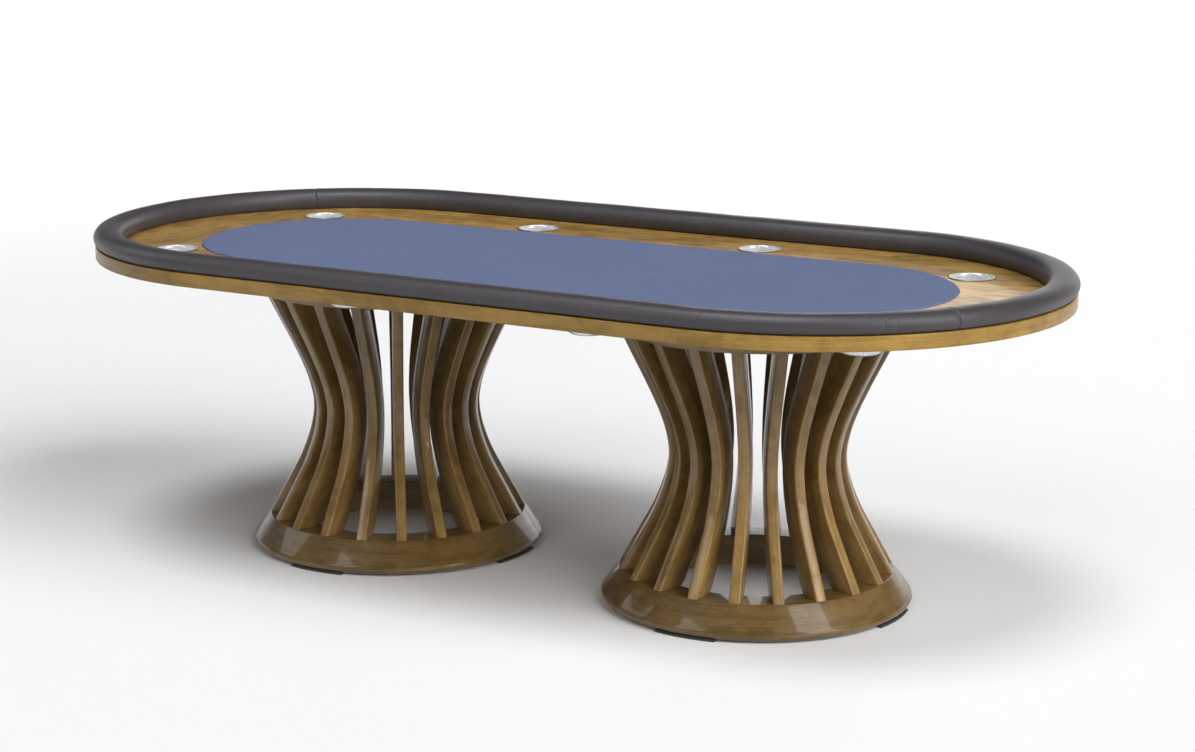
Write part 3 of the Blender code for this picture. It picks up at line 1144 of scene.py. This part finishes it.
    def build(self) -> bpy.types.Object:
        """Make the pad with its seams and the slight unevenness of stretched vinyl.

        Returns:
            The pad.
        """
        oval = Oval(self.half_straight, self.inner + self.spine)
        section = self.section()
        extra = [oval.at_angle(angle) + side * near
                 for angle in (*self.seam_angles, *self.pucker_angles)
                 for near in self.near_marks for side in (-1, 1)]
        stations = oval.stations(self.arc_steps, self.straight_steps, extra)
        sketch = MeshSketch("rail_padding")
        sweep(sketch, oval, section, stations, partial(self._pressed, oval, section[-4:]))
        pad = sketch.finish(self.finishes.vinyl, math.radians(50.0))
        place(pad, self.pad_node)
        return pad


@dataclass
class TableTop:
    """Skirt, racetrack and raised cloth field."""

    finishes: Finishes
    half_straight: float = 0.6150
    skirt_radius: float = 0.5790
    skirt_wall: float = 0.0180
    board_radius: float = 0.3290
    cloth_thickness: float = 0.0009
    hole_radius: float = 0.0457
    arc_steps: int = 96
    butt_joints: tuple[float, ...] = (-0.31, 0.17, 0.615)
    end_joints: tuple[float, ...] = (-0.130, 0.066, 0.253)
    end_tones: tuple[float, ...] = (0.05, 0.10, 0.62, -0.06)
    mitre: tuple[float, float] = (0.10, 0.805)
    # painted light on the skirt: left half circle darkest, straights darker, right half circle
    # lighter
    skirt_painted_light: tuple[float, float, float] = (-0.16, -0.09, 0.04)
    plank_setback: float = 0.03
    plank_gap: float = 0.0004
    left_tone: float = -0.06
    hole_steps: int = 64

    def skirt(self) -> bpy.types.Object:
        """Bend the skirt from planks with eased edges.

        Returns:
            The skirt.
        """
        low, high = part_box("skirt")
        inner, outer = self.skirt_radius - self.skirt_wall, self.skirt_radius
        section = rounded([(inner, low.z), (outer, low.z), (outer, high.z), (inner, high.z)],
                          [0.0, 0.0025, 0.0025, 0.0])
        oval = Oval(self.half_straight, outer)
        joints = [c - self.plank_setback for c in (*oval.corners[1:], oval.length)]
        extra = [j + side for j in joints for side in (-self.plank_gap, self.plank_gap)]
        sketch = MeshSketch("bent_skirt")
        sweep(sketch, oval, section, oval.stations(self.arc_steps, 24, extra),
              tone=partial(self._plank_tone_and_painted_light, oval, joints))
        return place(sketch.finish(self.finishes.skirt), "skirt")

    def _plank_tone_and_painted_light(self, oval: Oval, joints: Sequence[float], distance: float) -> float:
        """Find the shade of the skirt's plank at a place: a random tone of its own plus painted
        light.

        Args:
            oval: the skirt's path.
            joints: where the planks meet, as distances round it.
            distance: the place.

        Returns:
            The plank's shade, with its painted light.
        """
        row = sum(distance > j for j in joints) % len(joints)
        spot = oval.place(joints[row] - 0.5, self.skirt_radius, 0.0)
        end = (spot.x > self.half_straight) - (spot.x < -self.half_straight)
        # painted light for the plank's part of the oval, plus a random tone of its own
        return self.skirt_painted_light[end + 1] + 0.05 * noise.noise(Vector((row * 3.7, 0.4, 1.9)))

    def racetrack(self, cups: Sequence[tuple[float, float]]) -> bpy.types.Object:
        """Cut the racetrack from segments, with a round hole for each cup.

        Args:
            cups: the centres of the cup holders.

        Returns:
            The racetrack.
        """
        low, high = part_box("racetrack")
        inner, outer = self.board_radius + 0.0008, self.skirt_radius - self.skirt_wall - 0.0003
        oval = Oval(self.half_straight, (inner + outer) / 2)
        steps = oval.stations(self.arc_steps, 40)
        loops = [[oval.place(d, outer, 0).to_2d() for d in steps],
                 [oval.place(d, inner, 0).to_2d() for d in steps]]
        turns = [2 * math.pi * k / self.hole_steps for k in range(self.hole_steps)]
        for x, y in cups:
            loops.append([Vector((x + self.hole_radius * math.cos(a),
                                  y + self.hole_radius * math.sin(a))) for a in turns])
        flat = [p for loop in loops for p in loop]
        edges, start = [], 0
        for loop in loops:
            edges += [(start + k, start + (k + 1) % len(loop)) for k in range(len(loop))]
            start += len(loop)
        for a, b in self._joints(outer + 0.01):
            edges.append((len(flat), len(flat) + 1))
            flat += [Vector(a), Vector(b)]
        spots, _, faces, _, _, _ = geometry.delaunay_2d_cdt(flat, edges, [], 0, 1e-7)
        sketch = MeshSketch("racetrack_planks")
        top, bottom = ([sketch.point(Vector((p.x, p.y, z))) for p in spots]
                       for z in (high.z, low.z))
        for face in faces:
            mid = sum((spots[i] for i in face), Vector((0.0, 0.0))) / len(face)
            off_spine = math.hypot(max(abs(mid.x) - self.half_straight, 0.0), mid.y)
            in_hole = any(math.dist(mid, c) < self.hole_radius * 0.99 for c in cups)
            if in_hole or not inner * 0.9985 < off_spine < outer * 1.001:
                continue
            board = self._board(mid)
            for level, order in ((top, face), (bottom, face[::-1])):
                sketch.boards[len(sketch.faces)] = board
                sketch.faces.append(tuple(level[i] for i in order))
        used: dict[tuple[int, int], int] = {}
        for face in sketch.faces:
            for a, b in zip(face, face[1:] + face[:1]):
                edge = (min(a, b), max(a, b))
                used[edge] = used.get(edge, 0) + 1
        shift = len(spots)
        for (a, b), count in used.items():
            if count == 1 and a < shift:
                sketch.faces.append((a, b, b + shift, a + shift))
        return place(sketch.finish(self.finishes.track), "racetrack")

    def _joints(self, reach: float) -> list[tuple[tuple[float, float], tuple[float, float]]]:
        """Say where the racetrack's boards meet.

        Args:
            reach: how far from the spine a joint runs.

        Returns:
            The two ends of each joint, in plan.
        """
        end = self.half_straight
        far = end + reach
        joints = [((end + 0.02, y), (far, y)) for y in self.end_joints]
        for side in (-1, 1):
            joints += [((x, side * 0.30), (x, side * reach)) for x in self.butt_joints]
            start, slope = self.mitre
            joints.append(((-end, side * start), (-end - reach * 0.9,
                                                  side * (start + slope * reach * 0.9))))
        return joints

    def _board(self, spot: Vector) -> Board:
        """Find the board that a point of the racetrack is in.

        Args:
            spot: the point, in plan.

        Returns:
            Its board.
        """
        end = self.half_straight
        start, slope = self.mitre
        if spot.x < -end and abs(spot.y) < start + slope * (-end - spot.x):
            return Board(math.pi / 2, self.left_tone, 4.3)
        if spot.x > self.butt_joints[-1]:
            row = sum(spot.y > y for y in self.end_joints)
            return Board(math.radians(-3.0 + 4.0 * row), self.end_tones[row], 1.3 + row * 2.1)
        row = sum(spot.x > x for x in self.butt_joints) + (5 if spot.y > 0 else 0)
        return Board(0.0, 0.10 * noise.noise(Vector((row * 2.3, 7.7, 0.2))), row * 1.7)

    def field(self) -> list[bpy.types.Object]:
        """Make the raised board and the cloth stretched over it.

        Returns:
            The board and the cloth.
        """
        low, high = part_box("playing_board")
        edge, thick = self.board_radius, self.cloth_thickness
        oval = Oval(self.half_straight, edge)
        stations = oval.stations(self.arc_steps, 40)
        board = self._plate("field_board", oval, stations,
                            [(edge - 0.004, low.z), (edge - thick - 0.0001, low.z + 0.0003),
                             (edge - thick - 0.0001, high.z - 0.0034),
                             (edge - 0.0040, high.z - thick - 0.0002)],
                            self.finishes.plywood)
        outer = [(edge, low.z + 0.0002), (edge, high.z - 0.0030), (edge - 0.0003, high.z - 0.0017),
                 (edge - 0.0010, high.z - 0.0008), (edge - 0.0022, high.z - 0.0002),
                 (edge - 0.0040, high.z), (edge - 0.06, high.z), (edge - 0.15, high.z)]
        inner = [(r - thick if k < 3 else r - thick * 0.5, z if k == 0 else z - thick)
                 for k, (r, z) in enumerate(outer)]
        sketch = MeshSketch("field_cloth")
        sketch.loft([[sketch.point(oval.place(d, r, z), (d, r, z)) for d in stations]
                     for r, z in (*reversed(outer), *inner)])
        cloth = sketch.finish(self.finishes.cloth, math.radians(60.0))
        place(cloth, "playing_board")
        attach(board, Part.TABLE.value)
        return [board, cloth]

    def _plate(self, name: str, oval: Oval, stations: Sequence[float], rim: Section,
               material: bpy.types.Material) -> bpy.types.Object:
        """Make a flat oval plate from its rim.

        Args:
            name: the piece's name.
            oval: its plan.
            stations: the distances round it.
            rim: the rim's section, from its underside to its top.
            material: its finish.

        Returns:
            The plate.
        """
        sketch = MeshSketch(name)
        rows = []
        for r, z in rim:
            spots = [oval.place(d, r, z) for d in stations]
            rows.append([sketch.point(p, (p.x, p.y, p.z)) for p in spots])
        sketch.loft(rows)
        return sketch.finish(material)


@dataclass
class CupHolders:
    """Drop-in cups spun from stainless steel."""

    finishes: Finishes
    count: int = 8
    steps: int = 72
    wall: float = 0.0011
    flange_width: float = 0.0078
    flange_depth: float = 0.0022
    floor_bend: float = 0.0095

    def centres(self) -> list[tuple[float, float]]:
        """Read where the cups stand.

        Returns:
            The centres, in the order of the nodes.
        """
        found = []
        for k in range(self.count):
            low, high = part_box(self._node(k))
            found.append(((low.x + high.x) / 2, (low.y + high.y) / 2))
        return found

    @staticmethod
    def _node(index: int) -> str:
        """Name the CAD node of a cup."""
        return f"cup_holder_{index + 1:02d}"

    def build(self) -> list[bpy.types.Object]:
        """Make every cup, each on its own body.

        Returns:
            The cups.
        """
        made = []
        for k, centre in enumerate(self.centres()):
            node = self._node(k)
            low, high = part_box(node)
            sketch = MeshSketch(f"steel_cup_{k + 1:02d}")
            turn(sketch, centre, self.section(low.z, high.z, (high.x - low.x) / 2), self.steps,
                 open_ends=True, wood_radius=0.045)
            cup = sketch.finish(self.finishes.steel, math.radians(40.0))
            made.append(place(cup, node, node))
        return made

    def section(self, base: float, top: float, lip: float) -> Section:
        """Lay out a cup: rounded floor, straight bowl, rolled flange.

        Args:
            base: the height of its underside.
            top: the height of its flange.
            lip: the flange's radius.

        Returns:
            The section, from the underside's middle to the floor's middle.
        """
        bowl, bend, under = lip - self.flange_width, self.floor_bend, top - self.flange_depth
        inside, neck = bend - self.wall, bowl - self.wall
        floor = [(0.004, 0.0006), (0.014, 0.0004), (bowl - 0.011, 0.0)]
        turns = [math.radians(d) for d in range(15, 91, 15)]
        out: Section = [(r, base + z) for r, z in floor]
        out += [(bowl - bend + bend * math.sin(a), base + bend - bend * math.cos(a))
                for a in turns]
        out += [(bowl, base + 0.03), (bowl, under - 0.001), (bowl + 0.0008, under),
                (lip - 0.0012, under), (lip - 0.0003, under + 0.0003), (lip, under + 0.0008),
                (lip - 0.0004, under + 0.0014), (lip - 0.0018, top - 0.0002),
                (lip - 0.0035, top), (bowl + 0.0016, top - 0.0001),
                (bowl - 0.0002, top - 0.0007), (neck, top - 0.0020),
                (neck, top - 0.008), (neck, base + 0.03)]
        out += [(bowl - bend + inside * math.sin(a), base + bend - inside * math.cos(a))
                for a in reversed(turns)]
        return out + [(r, base + self.wall + z) for r, z in reversed(floor)]


@dataclass
class Pedestal:
    """One hourglass pedestal: base ring, curved slats and the ring that ties their tops."""

    finishes: Finishes
    side: str
    centre: Vector
    slats: int = 20
    slat_thickness: float = 0.0245
    slat_width: float = 0.0600
    edge_radius: float = 0.0042
    stations: int = 44
    ring_steps: int = 160
    base_rim: float = 0.3070
    top_rim: float = 0.3200
    hole: float = 0.2400
    grain_radius: float = 0.33
    # painted light: every slat is lifted lighter than the rings
    slat_painted_light: float = 0.08
    slat_tone_spread: float = 0.14
    # painted shade: the base rings are darkened
    base_ring_painted_shade: float = -0.44
    profile: tuple[tuple[float, float], ...] = (
        (0.0756, 0.3065), (0.1180, 0.2830), (0.1600, 0.2600), (0.2050, 0.2355), (0.2500, 0.2165),
        (0.2950, 0.2035), (0.3400, 0.1983), (0.3850, 0.2050), (0.4300, 0.2195), (0.4750, 0.2390),
        (0.5200, 0.2605), (0.5650, 0.2830), (0.6100, 0.3045), (0.6735, 0.3340))

    def radius(self, height: float) -> float:
        """Find the outer edge of a slat.

        Args:
            height: how high.

        Returns:
            Its distance from the pedestal's axis.
        """
        rows = self.profile
        held = min(max(height, rows[0][0]), rows[-1][0])
        index = max(i for i in range(len(rows) - 1) if rows[i][0] <= held + 1e-9)
        (z0, r0), (z1, r1) = rows[index], rows[index + 1]
        t, span = (held - z0) / (z1 - z0), z1 - z0
        m0, m1 = self._slope(index) * span, self._slope(index + 1) * span
        return ((2 * t ** 3 - 3 * t ** 2 + 1) * r0 + (t ** 3 - 2 * t ** 2 + t) * m0
                + (3 * t ** 2 - 2 * t ** 3) * r1 + (t ** 3 - t ** 2) * m1)

    def _slope(self, index: int) -> float:
        """Find how steeply the profile runs out at one of its points.

        Args:
            index: which point.

        Returns:
            The radius gained for each metre of height.
        """
        rows = self.profile
        low, high = rows[max(index - 1, 0)], rows[min(index + 1, len(rows) - 1)]
        return (high[1] - low[1]) / (high[0] - low[0])

    def slat(self, index: int) -> bpy.types.Object:
        """Bend one board, round its long edges and stand it on edge in its place.

        Args:
            index: which slat, from 0.

        Returns:
            The slat.
        """
        node = f"{self.side}_slat_{index + 1:02d}"
        low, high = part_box(node)
        turned = -math.pi / 2 + 2.0 * math.pi * index / self.slats
        cos, sin = math.cos(turned), math.sin(turned)
        half = self.slat_thickness / 2
        sketch = MeshSketch(f"{self.side}_bent_slat_{index + 1:02d}")
        seed = noise.cell(Vector((index * 7.3, self.centre.x * 31.0, 2.0)))
        # painted light lift for the slats, plus a random tone for each slat
        tone = self.slat_painted_light + (seed - 0.5) * self.slat_tone_spread
        rows, run, last = [], 0.0, None
        for k in range(self.stations + 1):
            z = low.z + (high.z - low.z) * k / self.stations
            slope = (self.radius(z + 0.003) - self.radius(z - 0.003)) / 0.006
            outer = self.radius(z)
            stretch = math.sqrt(1.0 + slope * slope)
            width = self.slat_width * stretch
            if last is not None:
                run += math.dist((outer, z), last)
            last = (outer, z)
            ring = rounded([(outer, -half), (outer, half), (outer - width, half),
                            (outer - width, -half)], [self.edge_radius] * 4, 3)
            rows.append([sketch.point(
                Vector((self.centre.x + r * cos - t * sin, self.centre.y + r * sin + t * cos, z)),
                (run + index * 1.7, (outer - r) / stretch + seed * 5.0, t + index * 0.31), tone)
                for r, t in ring])
        sketch.loft(rows)
        return place(sketch.finish(self.finishes.pedestal, math.radians(40.0)),
                     node)

    def _ring(self, name: str, node: str, section: Section, tone: float) -> bpy.types.Object:
        """Turn a ring about the pedestal's axis.

        Args:
            name: the piece's name.
            node: the CAD node that it replaces.
            section: radius and height of each point.
            tone: the shade of the wood.

        Returns:
            The ring.
        """
        sketch = MeshSketch(name)
        turn(sketch, self.centre, section, self.ring_steps, wood_radius=self.grain_radius,
             tone=tone)
        return place(sketch.finish(self.finishes.pedestal, math.radians(42.0)),
                     node)

    def base_ring(self) -> bpy.types.Object:
        """Turn the base ring with its sloping face and rolled foot.

        Returns:
            The ring.
        """
        node = f"{self.side}_base_ring"
        low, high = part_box(node)
        foot, hole = (high.x - low.x) / 2, self.hole
        section = rounded([(hole, low.z), (foot - 0.0065, low.z), (foot, low.z + 0.0090),
                           (foot - 0.0012, low.z + 0.0160), (self.base_rim, high.z),
                           (hole, high.z)],
                          [0.0012, 0.0045, 0.0050, 0.0050, 0.0016, 0.0016], 5)
        # painted shade: the base ring is darker than the slats
        return self._ring(f"{self.side}_turned_base", node, section, self.base_ring_painted_shade)

    def top_ring(self) -> bpy.types.Object:
        """Turn the ring under the table that the slats' tops are fixed to.

        Returns:
            The ring.
        """
        node = f"{self.side}_top_ring"
        low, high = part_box(node)
        outer, hole = (high.x - low.x) / 2, self.hole
        section = rounded([(hole, low.z), (self.top_rim, low.z), (outer, high.z - 0.008),
                           (outer, high.z), (hole, high.z)],
                          [0.0012, 0.0020, 0.0030, 0.0008, 0.0008], 4)
        return self._ring(f"{self.side}_turned_top", node, section, 0.0)

    def build(self) -> list[bpy.types.Object]:
        """Make the whole pedestal.

        Returns:
            Its pieces.
        """
        pieces = [self.slat(k) for k in range(self.slats)]
        return pieces + [self.base_ring(), self.top_ring()]


@dataclass
class CarriedNodes:
    """CAD nodes whose shape is right and that only need a finish."""

    finishes: Finishes
    frame: dict

    def dress(self) -> None:
        """Give each its material."""
        for node, material in (("under_deck", self.finishes.plywood),
                               ("rail_core", self.finishes.plywood),
                               ("left_foot_pads", self.finishes.rubber),
                               ("right_foot_pads", self.finishes.rubber)):
            obj = self.frame["nodes"][node]
            obj.data.materials.clear()
            obj.data.materials.append(material)
            LOG.info("dressed %s", node)


@dataclass(frozen=True)
class Lamp:
    """A broad soft light far off: where it stands, how wide it looks and how bright it is."""

    name: str
    azimuth: float
    polar: float
    spread: float
    strength: float
    HUNG_AT: ClassVar[float] = 4.0

    def aim(self) -> Vector:
        """Point from the table to the lamp."""
        turned, tip = math.radians(self.azimuth), math.radians(self.polar)
        return Vector((math.sin(tip) * math.cos(turned), math.sin(tip) * math.sin(turned),
                       math.cos(tip)))

    def hang(self) -> None:
        """Put the lamp in the scene; its shine comes from the cards instead."""
        light = bpy.data.lights.new(self.name, "SUN")
        light.energy = self.strength
        light.angle = math.radians(self.spread * 2.0)
        lamp = bpy.data.objects.new(self.name, light)
        lamp.rotation_euler = self.aim().to_track_quat("Z", "Y").to_euler()
        lamp.location = self.aim() * self.HUNG_AT
        lamp.visible_glossy = False
        bpy.context.scene.collection.objects.link(lamp)


@dataclass(frozen=True)
class Card(Lamp):
    """A lit card that only shines in glossy surfaces. Its spread is its width in metres."""

    height: float = 2.0
    distance: float = 5.0

    def hang(self) -> None:
        """Put the card in the scene."""
        light = bpy.data.lights.new(self.name, "AREA")
        light.shape = "RECTANGLE"
        light.size, light.size_y = self.spread, self.height
        light.energy = self.strength * math.pi * self.spread * self.height
        card = bpy.data.objects.new(self.name, light)
        card.rotation_euler = self.aim().to_track_quat("Z", "Y").to_euler()
        card.location = self.aim() * self.distance
        card.visible_diffuse = False
        card.visible_camera = False
        bpy.context.scene.collection.objects.link(card)


@dataclass
class Studio:
    """Plain floor, soft light and the camera."""

    floor_size: float = 140.0
    lens: float = 76.55
    eye: tuple[float, float, float] = (2.9524, -4.8805, 1.7049)
    yaw: float = 0.5296
    pitch: float = 0.2154
    fill: float = 0.05
    underglow: float = 0.40
    lamps: tuple[Lamp, ...] = (
        Lamp("side_softbox", 348.0, 58.0, 24.0, 4.00),
        Lamp("overhead_softbox", 268.0, 14.0, 12.0, 1.45),
        Lamp("front_softbox", 266.0, 54.0, 18.0, 0.70),
        Card("side_card", 350.0, 52.0, 1.6, 3.6, height=4.0),
        Card("overhead_card", 268.0, 14.0, 2.6, 5.2, height=2.6),
        Card("front_card", 250.0, 54.0, 1.6, 2.2, height=2.0),
        Card("left_card", 190.0, 56.0, 2.2, 1.2, height=2.2),
        Card("back_card", 97.0, 73.0, 4.4, 1.10, height=2.6, distance=6.5))
    horizon: float = 0.85
    horizon_band: tuple[float, float] = (0.05, 0.22)
    ground_band: tuple[float, float] = (-0.04, -0.02)
    film_width: float = 36.0

    def build(self) -> None:
        """Make the stage."""
        self._floor()
        self._light()
        self._camera()

    def _floor(self) -> None:
        """Lay the floor, flat, and far wider than the view."""
        bm = bmesh.new()
        bmesh.ops.create_grid(bm, x_segments=8, y_segments=8, size=self.floor_size / 2)
        mesh = bpy.data.meshes.new("studio_floor")
        bm.to_mesh(mesh)
        bm.free()
        mesh.materials.append(FloorFinish().build())
        floor = bpy.data.objects.new("studio_floor", mesh)
        bpy.context.scene.collection.objects.link(floor)
        floor.visible_diffuse = False
        floor.visible_shadow = False

    def _light(self) -> None:
        """Hang the soft lights and fill from all round."""
        for lamp in self.lamps:
            lamp.hang()
        world = bpy.data.worlds.new("studio_fill")
        world.use_nodes = True
        sketch = NodeSketch(world.node_tree)
        background = world.node_tree.nodes["Background"]
        background.inputs["Color"].default_value = (1, 1, 1, 1)
        up = sketch.split(sketch.add("ShaderNodeTexCoord").outputs["Generated"])[2]
        glow = sketch.span(up, *self.horizon_band, self.horizon, self.fill)
        above = sketch.span(up, *self.ground_band)
        glow = sketch.math("ADD", sketch.math("MULTIPLY", glow, above),
                           sketch.math("MULTIPLY", sketch.math("SUBTRACT", 1.0, above),
                                       self.underglow))
        sketch.join(glow, background.inputs["Strength"])
        bpy.context.scene.world = world

    def _camera(self) -> None:
        """Set the camera."""
        data = bpy.data.cameras.new("studio_camera")
        data.sensor_width = self.film_width
        data.sensor_fit = "HORIZONTAL"
        data.lens = self.lens
        camera = bpy.data.objects.new("studio_camera", data)
        camera.location = self.eye
        camera.rotation_euler = (math.pi / 2 - self.pitch, 0.0, self.yaw)
        bpy.context.scene.collection.objects.link(camera)
        bpy.context.scene.camera = camera
        bpy.context.scene.view_settings.view_transform = "Standard"


def main() -> None:
    """Build the table round its frame, then the studio."""
    logging.basicConfig(level=logging.INFO, format="%(name)s: %(message)s")
    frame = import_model()
    finishes = Finishes.make()
    cups = CupHolders(finishes)
    top = TableTop(finishes)
    pieces = [Rail(finishes).build(), top.skirt(), top.racetrack(cups.centres()), *top.field(),
              *cups.build()]
    for side in ("left", "right"):
        low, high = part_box(f"{side}_base_ring")
        pieces += Pedestal(finishes, side, (low + high) / 2).build()
    for piece in pieces:
        LOG.info("built %s", piece.name)
    CarriedNodes(finishes, frame).dress()
    Studio().build()


if __name__ == "__main__":
    main()
